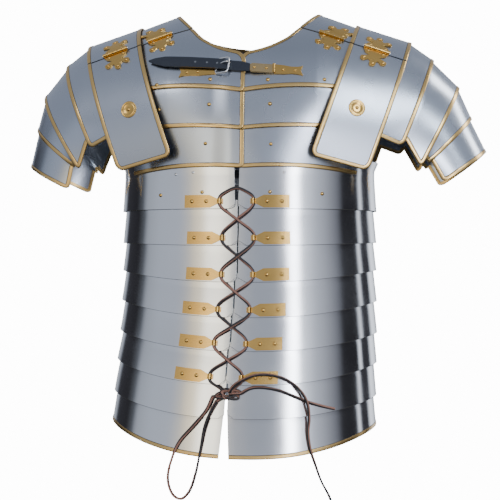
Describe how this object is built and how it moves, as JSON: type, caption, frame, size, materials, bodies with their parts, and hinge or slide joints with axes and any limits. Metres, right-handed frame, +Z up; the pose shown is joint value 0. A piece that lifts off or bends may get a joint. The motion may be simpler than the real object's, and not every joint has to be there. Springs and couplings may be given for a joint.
{
  "type": "lorica segmentata",
  "caption": "Worn segmented plate armour: laced hoops round the waist, breast and back plates, and hinged guards over each shoulder.",
  "frame": {"origin": "midway between the seats that rest on the wearer's shoulders", "axes": "+Z up, the front faces -Y, +X to the wearer's left"},
  "size_m": [0.6445, 0.3078, 0.6953],
  "materials": {
    "steel": "polished, fine scratches",
    "brass": "satin, slightly tarnished",
    "strap_leather": "smooth, semi-matt",
    "lace_leather": "matt, dark edges",
    "buckle_steel": "polished"
  },
  "bodies": {
    "root": {"hoop_1_left": "steel", "hoop_2_left": "steel", "hoop_3_left": "steel", "hoop_4_left": "steel", "hoop_5_left": "steel", "hoop_6_left": "steel", "hoop_7_left": "steel", "hoop_8_left": "steel", "hoop_1_right": "steel", "hoop_2_right": "steel", "hoop_3_right": "steel", "hoop_4_right": "steel", "hoop_5_right": "steel", "hoop_6_right": "steel", "hoop_7_right": "steel", "hoop_8_right": "steel", "front_upper_left": "steel", "front_middle_left": "steel", "front_lower_left": "steel", "back_upper_left": "steel", "back_middle_left": "steel", "back_lower_left": "steel", "front_upper_right": "steel", "front_middle_right": "steel", "front_lower_right": "steel", "back_upper_right": "steel", "back_middle_right": "steel", "back_lower_right": "steel", "guard_1_left": "steel", "guard_2_left": "steel", "guard_3_left": "steel", "guard_4_left": "steel", "guard_1_right": "steel", "guard_2_right": "steel", "guard_3_right": "steel", "guard_4_right": "steel", "guard_main_front_left": "steel", "guard_main_top_left": "steel", "guard_main_back_left": "steel", "guard_main_front_right": "steel", "guard_main_top_right": "steel", "guard_main_back_right": "steel", "collar_left": "steel", "collar_right": "steel", "collar_hinge_front_left": "brass", "collar_hinge_back_left": "brass", "guard_hinge_front_left": "brass", "guard_hinge_back_left": "brass", "collar_hinge_front_right": "brass", "collar_hinge_back_right": "brass", "guard_hinge_front_right": "brass", "guard_hinge_back_right": "brass", "strap_fitting": "brass", "strap": "strap_leather", "buckle": "buckle_steel", "lace_front": "lace_leather", "lace_back": "lace_leather", "lace_bow": "lace_leather", "lace_tail_long": "lace_leather", "lace_tail_short": "lace_leather"}
  },
  "joints": []
}
